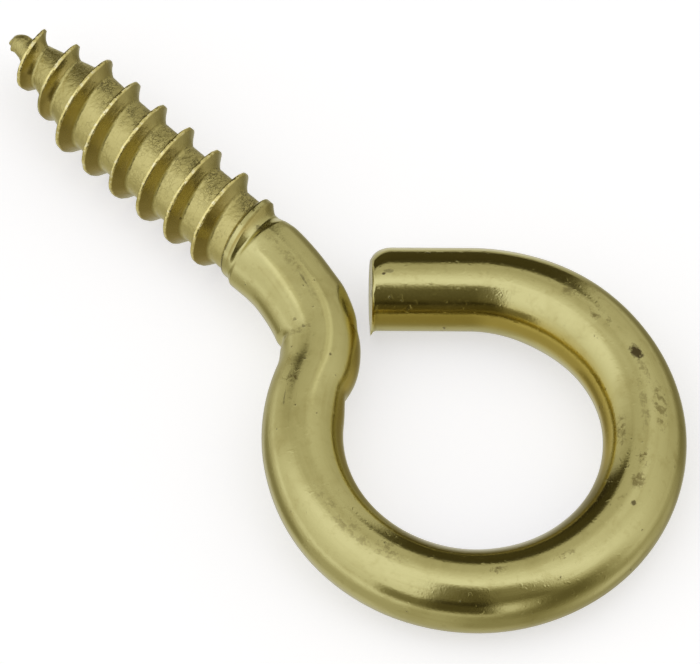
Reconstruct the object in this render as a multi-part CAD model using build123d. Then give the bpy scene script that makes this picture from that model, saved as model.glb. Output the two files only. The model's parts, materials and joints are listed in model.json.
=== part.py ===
from build123d import *
import os
from math import acos, cos, degrees, pi, radians, sin, sqrt

# An open screw eye in millimetres: one length of round brass wire with a wood-screw thread
# rolled on one end and an eye bent at the other.
# It lies flat: the eye's own plane is XY, its centre is the origin, and the thread points to -X.

# Driving dimensions
wire_diameter = 4.1
eye_inside_diameter = 12.7
axis_offset = 0.4            # the thread's axis passes this far to the +Y side of the eye's centre
tip_reach = 31.6             # from the eye's centre to the end of the point
neck_start_radius = 12.0     # centreline radii of the two arcs of the neck's reverse bend
neck_end_radius = 4.75
neck_start_angle = 22.0
eye_end_angle = 134.0        # where the round part of the eye stops, counter-clockwise from +X
straight_end_length = 4.85   # the cut end of the wire runs on straight
cut_edge_round = 0.25

thread_pitch = 1.83          # right-handed
root_diameter = 3.7
crest_diameter = 5.0
ridge_front = 0.26           # from the ridge's middle to the base of its steep flank, towards the point
ridge_back = 0.89            # and to the base of its gentle flank, towards the eye
ridge_crest_width = 0.14
ridge_sink = 0.3             # how far the ridge's base is sunk into the core
point_length = 5.1
point_nub_radius = 0.41
first_ridge_offset = 0.62    # from the end of the point to the middle of the ridge's first section
ridge_start_angle = -59.0    # where the ridge starts, turning from +Y towards +Z
ridge_start_share = 0.4      # share of its full section that the ridge starts with
run_in_turns = 0.2           # the ridge reaches its full section in this much of a turn
shoulder_length = 0.3        # the step up from the thread's root to the plain wire
run_out_turns = 1.3          # the ridge gets lower over its last turns
run_out_height = 0.1         # and is this much above the root where it ends inside the plain wire
points_per_turn = 24

# What follows from them
wire_radius = wire_diameter / 2
eye_radius = eye_inside_diameter / 2 + wire_radius
root_radius = root_diameter / 2
ridge_height = (crest_diameter - root_diameter) / 2
tip_x = -tip_reach
start_angle = radians(neck_start_angle)
neck_drop = neck_start_radius * (1 - cos(start_angle)) + neck_end_radius * cos(start_angle)
turn_cosine = (neck_drop - axis_offset) / (eye_radius + neck_end_radius)
neck_angle = acos(turn_cosine)   # heading of the wire, below +X, where the neck meets the eye
neck_end = Vector(-eye_radius * sin(neck_angle), -eye_radius * cos(neck_angle))
neck_middle_x = neck_end.X - neck_end_radius * (sin(neck_angle) - sin(start_angle))
shoulder_x = neck_middle_x - neck_start_radius * sin(start_angle)
thread_axis = Axis((0, axis_offset, 0), (1, 0, 0))


def bent_wire():
    """The plain wire from the thread's shoulder through the neck and round the eye to its cut end."""
    start_centre = (shoulder_x, axis_offset - neck_start_radius)
    first = CenterArc(start_centre, neck_start_radius, 90, -neck_start_angle)
    end_centre = (
        neck_end.X - neck_end_radius * sin(neck_angle),
        neck_end.Y - neck_end_radius * cos(neck_angle),
    )
    turned = degrees(neck_angle) - neck_start_angle
    second = CenterArc(end_centre, neck_end_radius, 90 - neck_start_angle, -turned)
    eye_start_angle = 270 - degrees(neck_angle)
    eye = CenterArc((0, 0), eye_radius, eye_start_angle, 360 + eye_end_angle - eye_start_angle)
    away = Vector(-sin(radians(eye_end_angle)), cos(radians(eye_end_angle)))
    straight = Line(eye @ 1, eye @ 1 + away * straight_end_length)
    route = Wire([first.edge(), second.edge(), eye.edge(), straight.edge()])
    section = Plane(origin=(shoulder_x, axis_offset, 0), z_dir=(1, 0, 0)) * Circle(wire_radius)
    wire = sweep(section, path=route)
    circles = wire.edges().filter_by(GeomType.CIRCLE)
    cut_edge = circles.sort_by(lambda edge: (edge.arc_center - straight @ 1).length)[0]
    return fillet(cut_edge, cut_edge_round)


def core_radius(x):
    """Radius of the threaded end without its ridge: a cone at the point, then a cylinder."""
    along = (x - tip_x) / point_length
    cone = point_nub_radius + (root_radius - point_nub_radius) * along
    return min(root_radius, cone)


def threaded_core():
    """The pointed core turned about the thread's axis, with the shoulder up to the plain wire."""
    nub_length = point_nub_radius
    nub = ThreePointArc(
        (tip_x, 0),
        (tip_x + nub_length * (1 - sqrt(0.5)), point_nub_radius * sqrt(0.5)),
        (tip_x + nub_length, core_radius(tip_x + nub_length)),
    )
    outline = Polyline(
        nub @ 1,
        (tip_x + point_length, root_radius),
        (shoulder_x - shoulder_length, root_radius),
        (shoulder_x, wire_radius),
        (shoulder_x, 0),
        nub @ 0,
    )
    profile = make_face([*nub.edges(), *outline.edges()])
    return revolve(Pos(0, axis_offset, 0) * profile, thread_axis)


def ridge_point(turn, along, lift):
    """A point on the ridge: `along` from the middle of its section and `lift` above the core."""
    angle = radians(ridge_start_angle) + 2 * pi * turn
    middle_x = tip_x + first_ridge_offset + thread_pitch * turn
    radius = core_radius(middle_x) + lift
    return Vector(middle_x + along, axis_offset + radius * cos(angle), radius * sin(angle))


def ridge_turns():
    """Turns of ridge between its first section and its last, just inside the plain wire."""
    last_x = shoulder_x + ridge_front
    return (last_x - tip_x - first_ridge_offset) / thread_pitch


def ridge_section(turn):
    """Four corners of the ridge's section: (distance along the axis, height above the core)."""
    grown = ridge_start_share + (1 - ridge_start_share) * min(1.0, turn / run_in_turns)
    left = min(1.0, (ridge_turns() - turn) / run_out_turns)
    height = grown * (run_out_height + (ridge_height - run_out_height) * left)
    half_crest = grown * ridge_crest_width / 2
    return [
        (-grown * ridge_front, -ridge_sink),
        (-half_crest, height),
        (half_crest, height),
        (grown * ridge_back, -ridge_sink),
    ]


def ridge_edge(corner, first, last):
    """The spline that one corner of the section follows from one turn to another."""
    count = max(3, round((last - first) * points_per_turn))
    turns = [first + (last - first) * step / count for step in range(count + 1)]
    return Edge.make_spline([ridge_point(turn, *ridge_section(turn)[corner]) for turn in turns])


def thread_ridge():
    """The helical ridge as one solid: base, crest and two flanks, closed by a face at each end."""
    turns = ridge_turns()
    whole_turns = range(1, int(turns) + 1)
    breaks = sorted([0.0, run_in_turns, *whole_turns, turns - run_out_turns, turns])
    faces = []
    for first, last in zip(breaks, breaks[1:]):
        edges = [ridge_edge(corner, first, last) for corner in range(4)]
        for one, other in zip(edges, edges[1:] + edges[:1]):
            faces.append(Face.make_surface_from_curves(one, other))
    for turn in (0.0, turns):
        ends = [ridge_point(turn, along, lift) for along, lift in ridge_section(turn)]
        faces.append(Face(Wire.make_polygon(ends, close=True)))
    return Solid(Shell(faces))


screw_eye = threaded_core() + bent_wire()
screw_eye += thread_ridge()

os.makedirs("parts", exist_ok=True)
export_step(screw_eye, "parts/screw_eye.step")
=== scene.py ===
import json
from math import acos, atan2, cos, pi, radians, sin
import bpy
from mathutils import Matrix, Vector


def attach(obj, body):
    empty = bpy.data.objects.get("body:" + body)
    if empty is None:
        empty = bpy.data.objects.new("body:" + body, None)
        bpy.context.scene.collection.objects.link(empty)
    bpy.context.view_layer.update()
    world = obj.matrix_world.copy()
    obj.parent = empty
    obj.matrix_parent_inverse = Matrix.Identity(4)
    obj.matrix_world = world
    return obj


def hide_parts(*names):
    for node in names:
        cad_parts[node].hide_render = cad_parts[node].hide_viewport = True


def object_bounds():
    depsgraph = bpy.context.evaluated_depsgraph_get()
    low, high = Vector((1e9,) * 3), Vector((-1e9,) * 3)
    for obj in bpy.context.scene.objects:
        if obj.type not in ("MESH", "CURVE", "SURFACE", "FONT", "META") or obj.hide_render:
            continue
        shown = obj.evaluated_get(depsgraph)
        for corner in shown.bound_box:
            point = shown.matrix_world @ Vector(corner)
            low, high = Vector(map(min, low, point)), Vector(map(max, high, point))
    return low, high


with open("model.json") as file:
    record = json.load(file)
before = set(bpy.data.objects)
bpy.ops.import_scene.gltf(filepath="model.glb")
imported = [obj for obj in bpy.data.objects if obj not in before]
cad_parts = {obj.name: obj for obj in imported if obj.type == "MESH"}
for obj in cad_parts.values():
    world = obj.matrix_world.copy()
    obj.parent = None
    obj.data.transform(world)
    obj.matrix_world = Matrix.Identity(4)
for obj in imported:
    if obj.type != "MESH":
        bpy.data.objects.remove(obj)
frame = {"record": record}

from types import SimpleNamespace

import bpy
import numpy as np
from mathutils import Matrix, Vector, noise

# An open brass screw eye lying flat on a pale table, in a white tent.
# The wire is one skin of rings along its centreline. The skin's radius is a function of the
# distance along the wire and of the angle round it, which makes the thread, the kinked neck and
# the sheared end. Distances along the wire start at the thread's shoulder and are negative on the
# thread. Angles round the wire start at the left of its heading, seen from above, and grow
# towards +Z.

cad_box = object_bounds()
MM = 0.001
NODE = "screw_eye"

# Sizes from the record
mounts = {mount["name"]: mount for mount in frame["record"]["mounts"]}
wire_radius = mounts["eye"]["dims"]["length_mm"] / 2 * MM
eye_radius = mounts["eye"]["dims"]["r_mm"] * MM + wire_radius
crest_radius = mounts["thread"]["dims"]["r_mm"] * MM
thread_length = mounts["thread"]["dims"]["length_mm"] * MM
shoulder = Vector(mounts["thread"]["pos_m"])

# The centreline, as in the CAD: two arcs of reverse bend, the eye, and a straight end
neck_start_radius = 12.0 * MM
neck_start_angle = radians(22)
neck_end_radius = 4.75 * MM
eye_end_angle = radians(134 + 360)
straight_end_length = 4.85 * MM
neck_drop = neck_start_radius * (1 - cos(neck_start_angle))
neck_drop += neck_end_radius * cos(neck_start_angle)
neck_angle = acos((neck_drop - shoulder.y) / (eye_radius + neck_end_radius))
neck_start_length = neck_start_radius * neck_start_angle
neck_length = neck_start_length + neck_end_radius * (neck_angle - neck_start_angle)
eye_length = eye_radius * (eye_end_angle - (3 * pi / 2 - neck_angle))
wire_end = neck_length + eye_length + straight_end_length

# The thread
pitch = 1.83 * MM
root_radius = 1.85 * MM
ridge_height = crest_radius - root_radius
ridge_half_crest = 0.07 * MM
ridge_front = 0.22 * MM      # from its middle to the foot of its steep flank, towards the point,
ridge_back = 0.64 * MM       # and to the foot of its gentle flank, towards the eye
point_length = 5.1 * MM
point_nub_radius = 0.38 * MM
first_ridge_offset = 0.62 * MM
ridge_start_angle = radians(-59)
ridge_lag = 0.1              # a place belongs to a ridge up to half a turn and this much behind it
ridge_first_turn = -0.02     # the ridge begins a little before its nominal start,
ridge_start_share = 0.4      # with this share of its height
run_in_turns = 0.2
run_out_turns = 1.3
run_out_share = 0.12
ridge_waves = (0.03, 5.3)    # its height varies by this share, at this many radians per turn
ridge_dip = (0.28, 1.72, 0.17)      # it dips by this share, at this turn, with this half width
flank_power = 1.35           # above 1, the flanks are hollow
worn_flank_power = 1.0       # where the ridge runs out its flanks are straight,
worn_crest = 0.22 * MM       # its crest is wider by this on each side,
worn_front = 0.24 * MM       # and its steep flank is longer by this
shoulder_length = 0.3 * MM
shoulder_rise = (-0.1 * MM, 0.36 * MM)      # here the plain wire rises from the thread
point_bend = 0.27 * MM       # the point leans this far to the +Y side
point_bend_length = 9.0 * MM
nub_bend = 0.08 * MM         # and the nub a little more
nub_bend_length = 1.5 * MM

# The nub at the tip, with angles in degrees, and heights and places from the tip in mm
nub_stretch = (20, 70, 0.6)                 # its longer side: angle, half width and added share
nub_pimple = (187, 28, 0.13, 0.35, 0.13)    # angle, half width, height, place and half length
nub_waist = (-0.07, 0.95, 0.3)              # height all round, place and half length

# What the bending tool did to the shank and the neck: angle round the wire and half width in
# degrees, height of the change in mm, and where along the wire it rises from nothing and falls
# back, in mm. The first two already have their full height at the shoulder.
neck_forms = {
    "full_lower_side": (190, 32, 0.15, (-2.0, -1.0), (0.1, 2.6)),
    "rounded_gap_side": (24, 36, -0.1, (-2.0, -1.0), (0.1, 0.9)),
    "shank_flat": (146, 20, -0.035, (0.2, 1.5), (5.2, 6.4)),
    "shank_upper_flat": (94, 11, -0.025, (0.2, 1.5), (5.2, 6.4)),
    "shank_edge": (114, 6, 0.036, (0.2, 1.5), (5.2, 6.4)),
    "neck_edge": (76, 5.5, 0.05, (2.4, 4.0), (8.5, 11.0)),
    "outer_flat": (172, 38, -0.11, (5.9, 6.8), (13.0, 18.0)),
    "gap_side_flat": (5, 42, -0.045, (5.5, 6.2), (9.5, 10.8)),
}
# The same for humps and hollows at one place: angle, half width, height, place and half length
neck_dents = {
    "buckle": (188, 40, -0.31, 6.0, 0.4),
    "gap_side_step": (20, 30, 0.06, 4.2, 0.6),
    "gap_side_dent": (5, 36, -0.07, 5.85, 0.4),
    "gap_side_hollow": (-12, 40, -0.2, 8.8, 0.75),
}

# What the shears did to the free end, with angles and half widths in degrees
roll_length = 1.0 * MM       # one side is rolled over, over this length and this deep
roll_depth = 0.75 * MM
roll_side = (150, 46)
roll_limit = 0.97            # the roll stops just before it is upright
torn_length = 0.12 * MM      # the edge is torn over this length and this deep
torn_depth = 0.04 * MM
torn_waves = ((0.03 * MM, 5, 1), (0.02 * MM, 11, 0))      # depth, number round the wire, start
lip_height = 0.05 * MM
lip_half_length = 0.09 * MM
lip_side = (-12, 32)
burr_height = 0.26 * MM
burr_side = (-30, 11)

# The eye is a little thicker at one place: height, place and half length in mm
far_swelling = (0.07, 46.5, 3.0)

# Unevenness of the skin: scale in mm, stretch along the wire, seed, and height in mm
unevenness = {
    "laps": (0.2, 1.0, 1, 0.012),
    "nicks": (0.4, 1.0, 3, 0.03),
    "waves": (1.0, 3.0, 2, 0.008),
}
seed_steps = (17.3, 5.1, 9.7)      # how far a seed moves the noise
lap_fade = 0.6                     # the laps are this much lower on the crests,
nicked_crest = (0.6, 1.0)          # and the nicks come in over these shares of the ridge

# Rings and columns of the skin
columns = 120
rounding_error = 1e-9
ring_steps = (               # from, to, and the step between rings
    (-thread_length, 0.0, 0.039 * MM),
    (0.0, 0.4 * MM, 0.04 * MM),
    (0.4 * MM, neck_length + 1.5 * MM, 0.1 * MM),
    (neck_length + 1.5 * MM, wire_end - 1.0 * MM, 0.18 * MM),
    (wire_end - 1.0 * MM, wire_end, 0.045 * MM),
)
face_shares = (0.95, 0.86, 0.7, 0.5, 0.25)      # rings of the end face, as shares of the last ring
face_rise = 0.03 * MM        # the end face stands out this far near its edge,
face_tear = 0.07 * MM        # falls back by up to twice this towards its middle,
face_middle = -0.04 * MM     # and is this far out in its middle

# Marks on the brass, and painted shade in the recess at the shoulder: distance along the wire and
# angle round it, half length and half width in mm, and how dark the mark is
marks = {
    "neck_dot_1": (5.5, 126, 0.11, 0.10, 0.4),
    "neck_dot_2": (6.2, 115, 0.10, 0.09, 0.5),
    "neck_dot_3": (7.8, 74, 0.07, 0.07, 0.7),
    "neck_line": (10.5, 119, 0.35, 0.05, 0.4),
    "shank_scratch": (3.6, 89, 0.45, 0.06, 0.4),
    # painted shade in the recess where the plain wire rises from the thread
    "shoulder_shade": (0.02, 87, 0.2, 0.24, 0.6),
    "large_pit": (41.9, 103, 0.36, 0.27, 0.95),
    "low_dot": (33.6, 104, 0.13, 0.12, 0.8),
    "end_pit": (55.6, 83, 0.08, 0.06, 0.9),
    "end_scuff": (55.35, 87, 0.22, 0.10, 0.45),
}
# Painted highlight lines along the soft edges of the neck, in the same terms
painted_highlight_lines = {
    "neck_edge": (6.4, 79, 3.6, 0.17, 0.42),
    "shank_edge": (3.4, 113, 2.2, 0.2, 0.3),
}
# Soft stains, broken up into flecks, in the same terms
stains = {
    "shank_streak": (2.4, 88, 2.0, 0.22, 0.35),
    "neck_fold": (6.3, 122, 0.25, 0.6, 0.4),
    "neck_smudge": (9.4, 113, 0.42, 0.26, 0.9),
    "far_end": (46.4, 96, 0.3, 0.25, 0.5),
    "far_turn": (44.4, 95, 0.5, 0.3, 0.75),
    "below_pit": (40.9, 101, 0.6, 0.2, 0.4),
    "long_smudge": (38.9, 112, 1.0, 0.35, 0.6),
    "inner_smear": (37.7, 54, 0.9, 0.25, 0.6),
    "mid_flecks": (39.0, 89, 1.2, 0.2, 0.4),
    "low_flecks_1": (36.0, 92, 0.5, 0.3, 0.8),
    "low_flecks_2": (34.8, 94, 0.45, 0.3, 0.75),
    "low_flecks_3": (33.3, 89, 0.5, 0.2, 0.4),
    "near_flecks_1": (29.3, 96, 0.5, 0.17, 0.6),
    "near_flecks_2": (25.8, 88, 0.4, 0.2, 0.75),
    "left_flecks": (18.4, 97, 2.4, 0.34, 0.36),
    "left_edge": (20.3, 90, 0.5, 0.3, 0.5),
}


def smooth(value, low, high):
    """0 below low, 1 above high, and a smooth rise between."""
    share = np.clip((value - low) / (high - low), 0.0, 1.0)
    return share * share * (3 - 2 * share)


def hump(value, middle, width):
    """1 at the middle, falling smoothly to nearly 0 two widths away."""
    return np.exp(-(((value - middle) / width) ** 2))


def round_hump(angle, middle, width):
    """A hump round the wire, with its middle and width in degrees."""
    away = (angle - radians(middle) + pi) % (2 * pi) - pi
    return hump(away, 0.0, radians(width))


def long_bump(along, height, place, length):
    """A hump along the wire, with its height, place and half length in mm."""
    return height * MM * hump(along, place * MM, length * MM)


def centreline(along):
    """X and Y of the wire's middle at distances along it, and its heading there."""
    bends = (
        (0.0, -thread_length, 0.0),
        (-1 / neck_start_radius, 0.0, neck_start_length),
        (-1 / neck_end_radius, neck_start_length, neck_length),
        (1 / eye_radius, neck_length, neck_length + eye_length),
        (0.0, neck_length + eye_length, wire_end),
    )
    start_x, start_y, start_heading = shoulder.x - thread_length, shoulder.y, 0.0
    x, y, heading = np.zeros(along.shape), np.zeros(along.shape), np.zeros(along.shape)
    for curvature, first, last in bends:
        run = along - first
        bent = along_bend(run, curvature, start_heading)
        here = run >= -rounding_error
        x = np.where(here, start_x + bent[0], x)
        y = np.where(here, start_y + bent[1], y)
        heading = np.where(here, start_heading + curvature * run, heading)
        whole = along_bend(last - first, curvature, start_heading)
        start_x, start_y = start_x + whole[0], start_y + whole[1]
        start_heading += curvature * (last - first)
    return (x, y), heading


def along_bend(run, curvature, heading):
    """Steps in X and Y from a bend's start to a place along it."""
    if curvature == 0:
        return run * cos(heading), run * sin(heading)
    turn = heading + curvature * run
    return (np.sin(turn) - sin(heading)) / curvature, (cos(heading) - np.cos(turn)) / curvature


def uneven(name, along, angle):
    """A kind of unevenness on the unbent wire, one height for each ring and column."""
    scale, stretch, seed, height = unevenness[name]
    across = wire_radius * np.cos(angle)
    up = wire_radius * np.sin(angle)
    shift = Vector([seed * step for step in seed_steps])
    places = np.stack(np.broadcast_arrays(along / stretch, across, up), axis=-1).reshape(-1, 3)
    values = [noise.noise(Vector(place) + shift) for place in places / (scale * MM)]
    return height * MM * np.array(values).reshape(np.broadcast(along, angle).shape)


def cone_radius(from_tip):
    """Radius of the thread's core: a cone at the point, and straight after it."""
    cone = point_nub_radius + (root_radius - point_nub_radius) * from_tip / point_length
    return np.minimum(root_radius, cone)


def ridge_place(along, angle):
    """Distance from the middle of the nearest ridge, and that ridge's turn from the point."""
    round_turn = (angle - ridge_start_angle) / (2 * pi)
    offset = (along + thread_length - first_ridge_offset) / pitch - round_turn
    whole = np.round(offset - ridge_lag)
    return (offset - whole) * pitch, whole + round_turn


def point_lean(from_tip):
    """How far the wire's middle leans to the +Y side at a distance from the tip."""
    lean = point_bend * (1 - smooth(from_tip, 0, point_bend_length))
    return lean + nub_bend * (1 - smooth(from_tip, 0, nub_bend_length))


def on_ridge_lines(along, angle):
    """The rings of the thread, moved by up to half a step so that they follow the ridge's edges."""
    step = ring_steps[0][2]
    for line in (-ridge_front, -ridge_half_crest, ridge_half_crest, ridge_back):
        away = ridge_place(along, angle)[0] - line
        inside = (along > step - thread_length) & (along < -shoulder_length)
        along = np.where(inside & (np.abs(away) <= step / 2), along - away, along)
    return along


def thread_shape(along, angle):
    """Radius of the threaded end, the ridge's share there, and the side.

    The share goes from 0 at the root to 1 at the crest. The side is the distance from the ridge's
    middle in half pitches, negative towards the point.
    """
    from_tip = along + thread_length
    middle, width, stretch = nub_stretch
    nub_length = point_nub_radius * (1 + stretch * round_hump(angle, middle, width))
    nub = np.clip(1 - from_tip / nub_length, 0, 1)
    core = cone_radius(from_tip) * np.sqrt(np.maximum(1 - nub**2, 0.0))
    middle, width, *bump = nub_pimple
    core = core + long_bump(from_tip, *bump) * round_hump(angle, middle, width)
    core = core + long_bump(from_tip, *nub_waist)

    from_middle, ridge_turn = ridge_place(along, angle)
    last_turn = (thread_length + ridge_front - first_ridge_offset) / pitch
    grown = ridge_start_share + (1 - ridge_start_share) * ridge_turn / run_in_turns
    grown = np.clip(grown, 0, 1) * (ridge_turn > ridge_first_turn)
    left = np.clip((last_turn - ridge_turn) / run_out_turns, 0, 1)
    worn = 1 - left
    height = ridge_height * grown * (run_out_share + (1 - run_out_share) * left)
    share, speed = ridge_waves
    varied = 1 + share * np.sin(ridge_turn * speed)
    share, *dip = ridge_dip
    height = height * (varied - share * hump(ridge_turn, *dip))
    half_crest = ridge_half_crest + worn_crest * worn
    foot = np.where(from_middle < 0, ridge_front + worn_front * worn, ridge_back)
    foot = foot * np.maximum(grown, ridge_start_share)
    flank = np.clip((foot - np.abs(from_middle)) / (foot - half_crest), 0, 1)
    profile = flank ** (flank_power + (worn_flank_power - flank_power) * worn)
    core_here = cone_radius(np.maximum(from_tip - from_middle, 0))
    radius = np.maximum(core, core + (core_here - core + height) * profile)
    return radius, profile * np.clip(height / ridge_height, 0, 1), from_middle * 2 / pitch


def neck_shape(along, angle):
    """Change of the radius by the forms and dents of the shank and the neck."""
    change = 0.0
    for middle, width, height, rise, fall in neck_forms.values():
        rising = smooth(along, rise[0] * MM, rise[1] * MM)
        falling = 1 - smooth(along, fall[0] * MM, fall[1] * MM)
        change = change + height * MM * round_hump(angle, middle, width) * rising * falling
    for middle, width, *bump in neck_dents.values():
        change = change + long_bump(along, *bump) * round_hump(angle, middle, width)
    return change


def end_shape(along, angle):
    """Change of the radius at the sheared end: rolled side, torn edge, lip and burr."""
    from_end = wire_end - along
    rolled = roll_limit * np.clip(1 - from_end / roll_length, 0, 1)
    change = -roll_depth * (1 - np.sqrt(1 - rolled**2)) * round_hump(angle, *roll_side)
    edge = np.clip(1 - from_end / torn_length, 0, 1)
    torn = torn_depth
    for depth, waves, start in torn_waves:
        torn = torn + depth * np.sin(waves * angle + start)
    lip = lip_height * hump(from_end, torn_length, lip_half_length) * round_hump(angle, *lip_side)
    burr = burr_height * edge * round_hump(angle, *burr_side)
    return change - torn * edge**2 + lip + burr


def wire_shape(along, angle):
    """Radius of the skin at each ring and column, the ridge's share of it, and its side."""
    thread, ridge, side = thread_shape(along, angle)
    plain = wire_radius + neck_shape(along, angle) + end_shape(along, angle)
    plain = plain + long_bump(along, *far_swelling)

    rise = smooth(along, *shoulder_rise)
    joined = thread + (plain - np.minimum(thread, plain)) * rise
    radius = np.where(along < shoulder_rise[1], joined, plain)
    on_thread = 1 - smooth(along, -shoulder_length, 0)

    radius = radius + uneven("laps", along, angle) * on_thread * (1 - lap_fade * ridge)
    nicked = on_thread * smooth(ridge, *nicked_crest)
    radius = radius + uneven("nicks", along, angle) * nicked
    radius = radius + uneven("waves", along, angle)
    return radius, ridge * on_thread, side * on_thread


def screw_eye_skin():
    """The whole wire as one closed mesh.

    Its unbent places, and the share and the side of the ridge, are kept for the material.
    """
    steps = [np.arange(first, last - step * 0.5, step) for first, last, step in ring_steps]
    rings = np.concatenate([*steps, [wire_end]])[1:]
    angle = np.linspace(0, 2 * pi, columns, endpoint=False)[None, :]
    along = on_ridge_lines(rings[:, None] + 0 * angle, angle)
    radius, ridge, side = wire_shape(along, angle)
    middle, heading = centreline(along)
    from_tip = along + thread_length
    lean = point_lean(from_tip)
    across = radius * np.cos(angle) + lean
    up = radius * np.sin(angle)
    x = middle[0] - across * np.sin(heading)
    y = middle[1] + across * np.cos(heading)
    skin = np.stack([x, y, up], axis=-1)
    unbent = np.stack([from_tip, across - lean, up], axis=-1)

    # The end face: smaller and smaller rings on a slightly torn surface
    ahead = np.array([cos(heading[-1, 0]), sin(heading[-1, 0]), 0.0])
    centre = np.array([middle[0][-1, 0], middle[1][-1, 0], 0.0])
    face = []
    for share in face_shares:
        torn = face_rise - face_tear * (1 - share) * (1 + np.sin(2 * angle[0] + 1))
        face.append(centre + share * (skin[-1] - centre) + torn[:, None] * ahead)
    face_unbent = [unbent[-1] * (1, share, share) for share in face_shares]
    tip = np.array([shoulder.x - thread_length, shoulder.y + point_lean(0.0), 0.0])
    end = centre + face_middle * ahead
    vertices = np.concatenate([skin.reshape(-1, 3), *face, [tip, end]])
    ends_unbent = [(0, 0, 0), (from_tip[-1, 0], 0, 0)]
    unbents = np.concatenate([unbent.reshape(-1, 3), *face_unbent, ends_unbent])

    ring_count = len(rings) + len(face_shares)
    faces = []
    for ring in range(ring_count - 1):
        low, high = ring * columns, (ring + 1) * columns
        for column in range(columns):
            beside = (column + 1) % columns
            faces.append((low + column, high + column, high + beside, low + beside))
    last = (ring_count - 1) * columns
    tip_index = ring_count * columns
    for column in range(columns):
        beside = (column + 1) % columns
        faces.append((tip_index, column, beside))
        faces.append((tip_index + 1, last + beside, last + column))

    mesh = bpy.data.meshes.new("eye_wire")
    mesh.from_pydata([tuple(vertex) for vertex in vertices], [], faces)
    mesh.update()
    mesh.polygons.foreach_set("use_smooth", [True] * len(mesh.polygons))
    places = mesh.attributes.new("unbent", "FLOAT_VECTOR", "POINT")
    places.data.foreach_set("vector", unbents.reshape(-1))
    for name, field in (("ridge", ridge), ("side", side)):
        values = np.zeros(len(vertices))
        values[: field.size] = field.reshape(-1)
        mesh.attributes.new(name, "FLOAT", "POINT").data.foreach_set("value", values)
    piece = bpy.data.objects.new("eye_wire", mesh)
    bpy.context.scene.collection.objects.link(piece)
    return piece


class Nodes:
    """Short calls that add nodes to a tree and link them."""

    def __init__(self, tree):
        self.tree = tree
        tree.nodes.clear()

    def add(self, kind, **inputs):
        node = self.tree.nodes.new("ShaderNode" + kind)
        for name, value in inputs.items():
            self.put(node, name.replace("_", " "), value)
        return node

    def put(self, node, name, value):
        if isinstance(value, bpy.types.NodeSocket):
            self.tree.links.new(value, node.inputs[name])
        else:
            node.inputs[name].default_value = value

    def attribute(self, name, output):
        node = self.add("Attribute")
        node.attribute_name = name
        return node.outputs[output]

    def math(self, operation, *values):
        node = self.add("Math")
        node.operation = operation
        for index, value in enumerate(values):
            self.put(node, index, value)
        return node.outputs[0]

    def vector(self, operation, *values):
        node = self.add("VectorMath")
        node.operation = operation
        for index, value in enumerate(values):
            self.put(node, index, value)
        return node.outputs["Value" if operation == "LENGTH" else "Vector"]

    def chain(self, operation, first, *others):
        """One operation on several values in turn."""
        for other in others:
            first = self.math(operation, first, other)
        return first

    def times(self, *values):
        return self.chain("MULTIPLY", *values)

    def plus(self, *values):
        return self.chain("ADD", *values)

    def most(self, *values):
        return self.chain("MAXIMUM", *values)

    def ramp(self, value, low, high, to_low=0.0, to_high=1.0):
        node = self.add("MapRange")
        node.interpolation_type = "SMOOTHSTEP"
        for index, part in enumerate((value, low, high, to_low, to_high)):
            self.put(node, index, part)
        return node.outputs[0]

    def noise(self, name, vector):
        """One of the noises on the brass."""
        scale, detail, roughness = noises[name]
        node = self.add("TexNoise", Vector=vector, Scale=scale, Detail=detail, Roughness=roughness)
        return node.outputs["Fac"]

    def mix(self, share, first, second):
        """A mix of two colours, by the numbers of the node's colour sockets."""
        node = self.add("Mix")
        node.data_type = "RGBA"
        self.put(node, 0, share)
        self.put(node, 6, first)
        self.put(node, 7, second)
        return node.outputs[2]


def mark_share(nodes, unbent, places, ragged):
    """Where the brass is marked, from 0 to 1."""
    total = 0.0
    for along, turn, half_length, half_width, dark in places.values():
        middle = (
            along * MM + thread_length,
            wire_radius * cos(radians(turn)),
            wire_radius * sin(radians(turn)),
        )
        offset = nodes.vector("SUBTRACT", unbent, middle)
        scale = (1 / (half_length * MM), 1 / (half_width * MM), 1 / (half_width * MM))
        away = nodes.vector("LENGTH", nodes.vector("MULTIPLY", offset, scale))
        away = nodes.plus(away, ragged)
        total = nodes.most(total, nodes.ramp(away, *ranges["marks"], dark, 0.0))
    return total


# Noises on the brass: scale per metre, detail and roughness
noises = {
    "clouds": (420.0, 3.0, 0.6),
    "mottle": (1900.0, 4.0, 0.65),
    "streaks": (2600.0, 3.0, 0.55),
    "grain": (9000.0, 2.0, 0.5),
    "specks": (3300.0, 1.0, 0.5),
    "laps": (5200.0, 3.0, 0.6),
    "clusters": (900.0, 2.0, 0.5),
    # breaks up the painted highlight on the crests
    "highlight_breaks": (3600.0, 2.0, 0.5),
    "nicks": (5000.0, 2.0, 0.5),
    "ragged": (6000.0, 3.0, 0.65),
    "flecks": (2700.0, 3.0, 0.6),
}
streak_stretch = (0.06, 1.0, 1.0)      # the drawing marks are long,
lap_stretch = (1.0, 0.7, 0.7)          # and the laps lie a little round the thread

# Values of a noise, of the ridge's share or side, or of a mark's distance, between which each kind
# of wear, painted shade and painted highlight comes in or goes out
ranges = {
    "clouds": (0.48, 0.75),
    "streaks": (0.5, 0.8),
    "mottle": (0.52, 0.72),
    "root": (0.02, 0.25),
    "crest": (0.88, 0.98),
    "flank": (0.02, 0.2),
    "flank_side": (0.0, 0.1),
    "wrinkles": (0.0, 0.05),
    "clusters": (0.4, 0.56),
    # painted shade at the ridges' feet, and its gaps
    "seam": (0.02, 0.09),
    "foot_shade_gaps": (0.36, 0.5),
    # the painted highlight and the painted glints on the crests
    "crest_highlight": (0.34, 0.52),
    "glints": (0.54, 0.64),
    "flecks": (0.44, 0.6),
    "dots": (0.76, 0.8),
    "pits": (0.64, 0.72),
    "marks": (0.6, 1.4),
    "rim": (0.6, 1.0),
}
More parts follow.
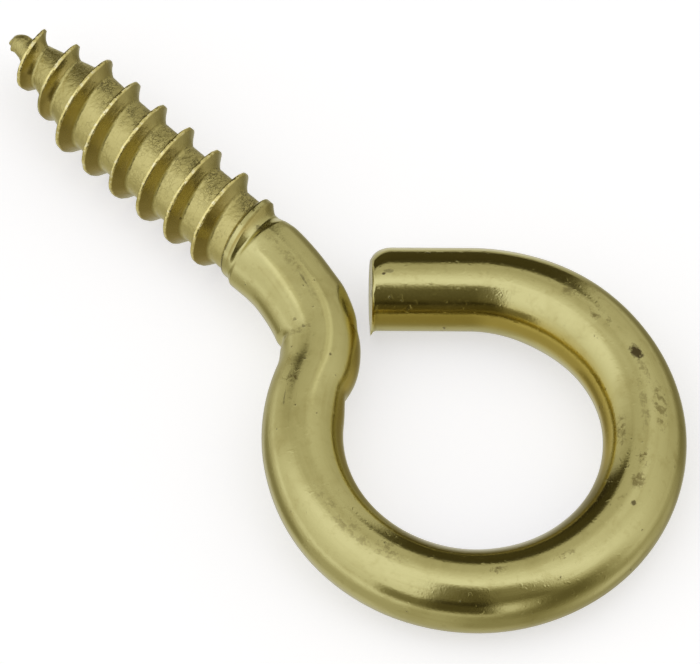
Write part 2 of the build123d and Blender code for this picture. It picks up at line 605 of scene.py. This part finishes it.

# How strongly each kind of wear, painted shade and painted reflection, and the grazing rim, shows
# where it is full
strengths = {
    "clouds": 0.4,
    "streaks": 0.25,
    "mottle": 0.25,
    # painted shade and warm painted reflection on the eye's inner side
    "inner": 0.9,
    # painted dark reflection on the inner side nearest the camera
    "near": 0.8,
    "wrinkles": 0.75,
    # painted shade at the foot of each ridge
    "seam": 0.65,
    "dots": 0.6,
    "rim": 0.8,
}
right_wrinkles = 0.2      # the share of the wrinkles that the thread's right side has
left_flank = 0.45         # the share of the flanks' deeper colour that its left side has
broken_highlight_share = 0.45       # the share of the crests' painted highlight that its broken places keep
highlight_ragged = 0.3          # how ragged the painted highlight lines are, as a share of the marks

# How rough clean brass is, and what wear adds to that
clean_roughness = 0.135
added_roughness = {
    "tarnish": 0.14,
    "satin": 0.06,
    "root": 0.2,
    "flank": 0.12,
    "crest": -0.06,
    "marks": 0.25,
}

# Relief of the thread and of the wire: depth and strength, and the share of each kind of wear
thread_bump = (0.045 * MM, 0.6)
wire_bump = (0.02 * MM, 0.4)
thread_relief = {"nicks": 1.1, "wrinkles": -0.5, "grain": 0.35}
wire_relief = {"streaks": 0.5, "grain": 0.35, "mottle": 0.5, "pits": -0.35, "marks": -0.7}
root_nicks = 0.2          # the share of the crests' nicks that the rest of the thread has

# Colours of the brass, and of the painted shade, reflections and highlights on it
clean = (0.67, 0.625, 0.30, 1)
dull = (0.47, 0.41, 0.155, 1)
# painted shade and warm painted reflection of the brass, on the eye's inner side
painted_inner_shade = (0.57, 0.45, 0.10, 1)
# painted dark reflection, on the eye's inner side nearest the camera
painted_dark_reflection = (0.2, 0.17, 0.09, 1)
matt = (0.67, 0.60, 0.26, 1)
deep_flank = (0.45, 0.36, 0.115, 1)
# painted highlight on the thread's crests
bright = (0.92, 0.81, 0.36, 1)
# brighter painted glints on the crests
glint = (1.0, 0.93, 0.60, 1)
# painted highlight lines along the neck's soft edges
painted_highlight = (0.92, 0.86, 0.42, 1)
stained = (0.20, 0.155, 0.05, 1)
# dark spots, wrinkles and marks, and painted shade at the ridges' feet and in the shoulder's recess
spots_and_painted_shade = (0.09, 0.065, 0.03, 1)
rim = (0.72, 0.70, 0.54, 1)


def wire_wear(nodes, unbent):
    """Light tarnish in clouds and along the drawing marks, and the noises used for it."""
    clouds = nodes.noise("clouds", unbent)
    mottle = nodes.noise("mottle", unbent)
    streaks = nodes.noise("streaks", nodes.vector("MULTIPLY", unbent, streak_stretch))
    tarnish = nodes.plus(
        nodes.times(nodes.ramp(clouds, *ranges["clouds"]), strengths["clouds"]),
        nodes.times(nodes.ramp(streaks, *ranges["streaks"]), strengths["streaks"]),
        nodes.times(nodes.ramp(mottle, *ranges["mottle"]), strengths["mottle"]),
    )
    return SimpleNamespace(
        tarnish=tarnish,
        mottle=mottle,
        streaks=streaks,
        grain=nodes.noise("grain", unbent),
        specks=nodes.noise("specks", unbent),
    )


def thread_wear(nodes, unbent, from_tip, inward):
    """Where the thread is root, flank or crest, its laps and wrinkles, and painted shade at its
    ridges' feet.

    The roots have wrinkled laps, more of them on the left side. A line of painted shade is at the
    foot of each ridge, on the point's side, broken into gaps.
    """
    ridge = nodes.attribute("ridge", "Fac")
    side = nodes.attribute("side", "Fac")
    fade_start, fade_end = thread_length - 0.45 * MM, thread_length - 0.1 * MM
    here = nodes.ramp(from_tip, fade_start, fade_end, 1.0, 0.0)
    root = nodes.times(here, nodes.ramp(ridge, *ranges["root"], 1.0, 0.0))
    crest = nodes.times(here, nodes.ramp(ridge, *ranges["crest"]))
    to_eye = nodes.ramp(side, *ranges["flank_side"])
    flank = nodes.times(nodes.ramp(ridge, *ranges["flank"]), to_eye, here)

    laps = nodes.noise("laps", nodes.vector("MULTIPLY", unbent, lap_stretch))
    lines = nodes.math("ABSOLUTE", nodes.plus(laps, -0.5))
    left = nodes.ramp(inward, -0.4 * root_radius, 0.5 * root_radius, right_wrinkles, 1.0)
    clusters = nodes.ramp(nodes.noise("clusters", unbent), *ranges["clusters"])
    lines = nodes.ramp(lines, *ranges["wrinkles"], 1.0, 0.0)
    from_foot = nodes.math("ABSOLUTE", nodes.plus(side, ridge_front * 2 / pitch))
    foot = nodes.ramp(from_foot, *ranges["seam"], 1.0, 0.0)
    return SimpleNamespace(
        here=here,
        root=root,
        crest=crest,
        flank=flank,
        laps=laps,
        wrinkles=nodes.times(lines, clusters, left, root),
        # painted shade along the foot of each ridge, broken into gaps
        seam=nodes.times(foot, nodes.ramp(laps, *ranges["foot_shade_gaps"]), here),
    )


def painted_shade_colour(nodes, colour, from_tip, inward, height):
    """Painted shade and warm painted reflection of the brass on the eye's inner side, and a darker
    painted reflection in the part nearest the camera.
    """
    radius, past = wire_radius, thread_length
    inner = nodes.times(
        nodes.ramp(inward, 0.3 * radius, 0.85 * radius),
        nodes.ramp(height, 0.45 * radius, 0.85 * radius, 1.0, 0.0),
        nodes.ramp(from_tip, past + 3.0 * MM, past + 6.0 * MM),
        nodes.ramp(height, -0.15 * radius, 0.2 * radius),
    )
    near = nodes.times(
        nodes.ramp(from_tip, past + 18.0 * MM, past + 21.0 * MM),
        nodes.ramp(from_tip, past + 33.0 * MM, past + 37.0 * MM, 1.0, 0.0),
        nodes.ramp(height, 0.82 * radius, 0.94 * radius, 1.0, 0.0),
        nodes.ramp(inward, 0.3 * radius, 0.55 * radius),
    )
    colour = nodes.mix(nodes.times(inner, strengths["inner"]), colour, painted_inner_shade)
    return nodes.mix(nodes.times(near, strengths["near"]), colour, painted_dark_reflection)


def thread_colour(nodes, colour, unbent, inward, thread):
    """Matt roots, a deeper flank towards the eye, and painted highlights on the crests, broken up
    and with brighter painted glints.
    """
    right = nodes.ramp(inward, -0.6 * root_radius, 0.7 * root_radius, 1.0, left_flank)
    highlight_breaks = nodes.noise("highlight_breaks", unbent)
    # painted highlight on the crests, weaker where the noise breaks it
    crest_highlight = nodes.times(thread.crest, nodes.ramp(highlight_breaks, *ranges["crest_highlight"], broken_highlight_share, 1.0))
    glints = nodes.times(thread.crest, nodes.ramp(highlight_breaks, *ranges["glints"]))
    colour = nodes.mix(thread.root, colour, matt)
    colour = nodes.mix(nodes.times(thread.flank, right), colour, deep_flank)
    colour = nodes.mix(crest_highlight, colour, bright)
    return nodes.mix(glints, colour, glint)


def brass_roughness(nodes, from_tip, wire, thread, marked):
    """Clean brass, and what wear adds. The neck and the start of the eye are more satin."""
    fade_start, fade_end = thread_length + 8.0 * MM, thread_length + 16.0 * MM
    satin = nodes.ramp(from_tip, fade_start, fade_end, added_roughness["satin"], 0.0)
    off_thread = nodes.plus(1.0, nodes.times(thread.here, -1.0))
    return nodes.plus(
        clean_roughness,
        nodes.times(wire.tarnish, added_roughness["tarnish"]),
        nodes.times(satin, off_thread),
        nodes.times(thread.root, added_roughness["root"]),
        nodes.times(thread.flank, added_roughness["flank"]),
        nodes.times(thread.crest, added_roughness["crest"]),
        nodes.times(marked, added_roughness["marks"]),
    )


def brass_relief(nodes, unbent, wire, thread, dark):
    """Laps and nicks on the thread, then the wire's fine grain with small pits."""
    nicked = nodes.plus(thread.crest, nodes.times(thread.here, root_nicks))
    height = nodes.plus(
        nodes.times(thread.laps, thread.root),
        nodes.times(nodes.noise("nicks", unbent), nicked, thread_relief["nicks"]),
        nodes.times(thread.wrinkles, thread_relief["wrinkles"]),
        nodes.times(wire.grain, thread.root, thread_relief["grain"]),
    )
    depth, strength = thread_bump
    bump = nodes.add("Bump", Height=height, Strength=strength, Distance=depth)
    height = nodes.plus(
        nodes.times(wire.streaks, wire_relief["streaks"]),
        nodes.times(wire.grain, wire_relief["grain"]),
        nodes.times(wire.mottle, wire_relief["mottle"]),
        nodes.times(nodes.ramp(wire.specks, *ranges["pits"]), wire_relief["pits"]),
        nodes.times(dark, wire_relief["marks"]),
    )
    normal = bump.outputs[0]
    depth, strength = wire_bump
    bump = nodes.add("Bump", Height=height, Strength=strength, Distance=depth, Normal=normal)
    return bump.outputs[0]


def brass():
    """Drawn and rolled brass: bright on the wire, rough and dull in the thread's roots."""
    material = bpy.data.materials.new("brass")
    material.use_nodes = True
    nodes = Nodes(material.node_tree)
    unbent = nodes.attribute("unbent", "Vector")
    from_tip, inward, height = nodes.add("SeparateXYZ", Vector=unbent).outputs
    wire = wire_wear(nodes, unbent)
    thread = thread_wear(nodes, unbent, from_tip, inward)

    # Painted highlight lines, marks with ragged outlines and painted shade, and a paler rim where
    # the brass is seen at a grazing angle
    ragged = nodes.times(nodes.plus(nodes.noise("ragged", unbent), -0.5), 2.0)
    # painted highlight lines on the neck's soft edges
    highlight_line_share = mark_share(nodes, unbent, painted_highlight_lines, nodes.times(ragged, highlight_ragged))
    flecks = nodes.ramp(nodes.noise("flecks", unbent), *ranges["flecks"])
    stain = nodes.times(mark_share(nodes, unbent, stains, ragged), flecks)
    # dark spots, wrinkles and marks, with painted shade at the ridges' feet and the shoulder
    dark = nodes.most(
        nodes.times(thread.wrinkles, strengths["wrinkles"]),
        nodes.times(thread.seam, strengths["seam"]),
        nodes.ramp(wire.specks, *ranges["dots"], 0.0, strengths["dots"]),
        mark_share(nodes, unbent, marks, ragged),
    )
    facing = nodes.add("LayerWeight").outputs["Facing"]
    grazing = nodes.ramp(facing, *ranges["rim"], 0.0, strengths["rim"])

    colour = nodes.mix(wire.tarnish, clean, dull)
    # painted shade and painted reflections on the eye's inner side
    colour = painted_shade_colour(nodes, colour, from_tip, inward, height)
    colour = thread_colour(nodes, colour, unbent, inward, thread)
    for share, paint in ((highlight_line_share, painted_highlight), (stain, stained), (dark, spots_and_painted_shade), (grazing, rim)):
        colour = nodes.mix(share, colour, paint)

    rough = brass_roughness(nodes, from_tip, wire, thread, nodes.plus(dark, stain))
    normal = brass_relief(nodes, unbent, wire, thread, dark)
    shader = nodes.add("BsdfPrincipled", Metallic=1.0, Roughness=rough, Normal=normal)
    nodes.put(shader, "Base Color", colour)
    nodes.add("OutputMaterial", Surface=shader.outputs[0])
    return material


table_gap = 0.04 * MM      # leaves room for the unevenness of the skin
table_half_width = 6.0
table_under_thread = 0.6   # it is just below the ridges at this share of the thread's length
table_colour = (0.86, 0.86, 0.86, 1)
table_roughness = 0.8
table_specular = 0.1
table_glow = (0.89, 0.90, 1.0, 1)
table_glow_strength = 0.55


def pale_table():
    """The floor, close below the thread and the eye.

    Four crests of the thread dip into it by up to 0.04 mm.
    """
    thread_x = shoulder.x - table_under_thread * thread_length
    low_thread = Vector((thread_x, 0, -crest_radius - table_gap))
    low_eye = Vector((eye_radius, 0, -wire_radius - table_gap))
    slope = atan2(low_eye.z - low_thread.z, low_eye.x - low_thread.x)
    half = table_half_width
    mesh = bpy.data.meshes.new("table")
    corners = [(-half, -half, 0), (half, -half, 0), (half, half, 0), (-half, half, 0)]
    mesh.from_pydata(corners, [], [(0, 1, 2, 3)])
    table = bpy.data.objects.new("table", mesh)
    table.location = low_thread
    table.rotation_euler = (0, -slope, 0)
    bpy.context.scene.collection.objects.link(table)

    # A backlit sheet that glows a little. The brass reflects the tent's lower half in its place.
    material = bpy.data.materials.new("pale_table")
    material.use_nodes = True
    nodes = Nodes(material.node_tree)
    shader = nodes.add("BsdfPrincipled", Roughness=table_roughness)
    nodes.put(shader, "Base Color", table_colour)
    nodes.put(shader, "Emission Color", table_glow)
    nodes.put(shader, "Emission Strength", table_glow_strength)
    nodes.put(shader, "Specular IOR Level", table_specular)
    table.visible_glossy = False
    nodes.add("OutputMaterial", Surface=shader.outputs[0])
    mesh.materials.append(material)


camera_azimuth = radians(38.5)
camera_elevation = radians(60.9)
camera_roll = radians(-5.15)
camera_distance = 1.2
camera_view_width = 34.3 * MM
camera_shift = (1.71 * MM, -1.19 * MM)      # to the right of the CAD box's middle, and above it
camera_clip = (0.1, 20.0)

# Openings, dark cards and bright cards in the white tent, as seen from the object: degrees round
# from the camera's side (counter-clockwise from above), degrees up, half width, half height, soft
# edge, and brightness as a share of the cloth's.
tent_cards = {
    "far_opening": (-166, 14, 31, 26, 3, 0.1),
    "far_shade": (-152, 50, 42, 26, 20, 0.58),
    "left_far_shade": (-130, 12, 23, 26, 12, 0.8),
    "camera_slot": (0, 47, 14, 27, 5, 0.2),
    "camera_stand": (2, 11, 14, 16, 6, 0.12),
    "left_of_camera": (-21, 8, 13, 13, 4, 0.3),
    "right_of_camera": (26, 45, 21, 25, 10, 0.28),
    "right_card": (45, 4, 23, 24, 18, 0.2),
    "low_right": (25, -38, 24, 24, 10, 0.7),
    "low_far_right": (140, -32, 26, 18, 10, 0.55),
    "small_window": (26, 10, 9, 12, 7, 1.75),
    "low_bright": (76, -38, 12, 11, 7, 1.3),
    "low_left": (-75, -11, 55, 9, 6, 1.3),
    "right_shade": (133, 26, 38, 50, 28, 0.7),
    "right_floor": (95, -62, 50, 16, 9, 0.8),
    "left_low_shade": (-100, -37, 24, 9, 6, 0.6),
    "left_floor": (-90, -66, 50, 14, 8, 1.25),
    "far_table": (-176, -34, 14, 14, 8, 1.5),
}
tent_top = 0.96                     # brightness of the cloth at this many degrees up,
tent_top_rise = 60
tent_horizon = 0.72                 # and at the horizon
table_share = 0.67                  # brightness below the table's edge, as a share of the cloth's
table_edge = (-19, -1)              # degrees up between which it falls to that
backdrop = (1.0, 1.0, 1.0, 1)       # what the camera sees past the table
room_warmth = (1.0, 1.07, 1.45)     # the dark parts of the room are warmer than the white cloth


def white_tent():
    """The world: a white tent that dims towards the table, with soft dark and bright cards."""
    world = bpy.data.worlds.new("tent")
    bpy.context.scene.world = world
    world.use_nodes = True
    nodes = Nodes(world.node_tree)
    direction = nodes.add("SeparateXYZ", Vector=nodes.add("TexCoord").outputs["Generated"])
    x, y, z = direction.outputs
    up = nodes.math("ARCSINE", z)
    camera_side = camera_azimuth - pi / 2
    edge_low, edge_high = (radians(rise) for rise in table_edge)
    light = nodes.ramp(up, 0.0, radians(tent_top_rise), tent_horizon, tent_top)
    light = nodes.times(light, nodes.ramp(up, edge_low, edge_high, table_share, 1.0))
    for turn, rise, half_width, half_height, soft, brightness in tent_cards.values():
        facing = camera_side + radians(turn)
        ahead = nodes.plus(nodes.times(x, cos(facing)), nodes.times(y, sin(facing)))
        beside = nodes.math("SUBTRACT", nodes.times(y, cos(facing)), nodes.times(x, sin(facing)))
        aside = nodes.math("ABSOLUTE", nodes.math("ARCTAN2", beside, ahead))
        above = nodes.math("ABSOLUTE", nodes.math("SUBTRACT", up, radians(rise)))
        wide = nodes.ramp(aside, radians(half_width - soft), radians(half_width + soft), 1.0, 0.0)
        tall = nodes.ramp(above, radians(half_height - soft), radians(half_height + soft), 1.0, 0.0)
        kept = nodes.plus(nodes.times(nodes.times(wide, tall), brightness - 1), 1.0)
        light = nodes.times(light, kept)
    red, green, blue = (nodes.math("POWER", light, warmth) for warmth in room_warmth)
    colour = nodes.add("CombineXYZ", X=red, Y=green, Z=blue).outputs[0]
    colour = nodes.mix(nodes.add("LightPath").outputs["Is Camera Ray"], colour, backdrop)
    background = nodes.add("Background", Color=colour, Strength=1.0)
    nodes.add("OutputWorld", Surface=background.outputs[0])


def camera():
    """A long lens, looking down at the flat side of the eye, with the thread to the far left."""
    low, high = cad_box
    aside, above = camera_shift
    data = bpy.data.cameras.new("camera")
    data.lens = data.sensor_width * camera_distance / camera_view_width
    data.clip_start, data.clip_end = camera_clip
    eye = bpy.data.objects.new("camera", data)
    bpy.context.scene.collection.objects.link(eye)
    back = Vector((
        sin(camera_azimuth) * cos(camera_elevation),
        -cos(camera_azimuth) * cos(camera_elevation),
        sin(camera_elevation),
    ))
    right = Vector((cos(camera_azimuth), sin(camera_azimuth), 0))
    up = back.cross(right)
    turned_right = cos(camera_roll) * right - sin(camera_roll) * up
    turned_up = sin(camera_roll) * right + cos(camera_roll) * up
    target = (low + high) / 2 + turned_right * aside + turned_up * above
    eye.location = target + back * camera_distance
    eye.rotation_mode = "QUATERNION"
    eye.rotation_quaternion = Matrix((turned_right, turned_up, back)).transposed().to_quaternion()
    bpy.context.scene.camera = eye


bpy.context.scene.view_settings.view_transform = "Standard"
eye_wire = screw_eye_skin()
eye_wire.data.materials.append(brass())
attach(eye_wire, "root")
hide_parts(NODE)
pale_table()
white_tent()
camera()
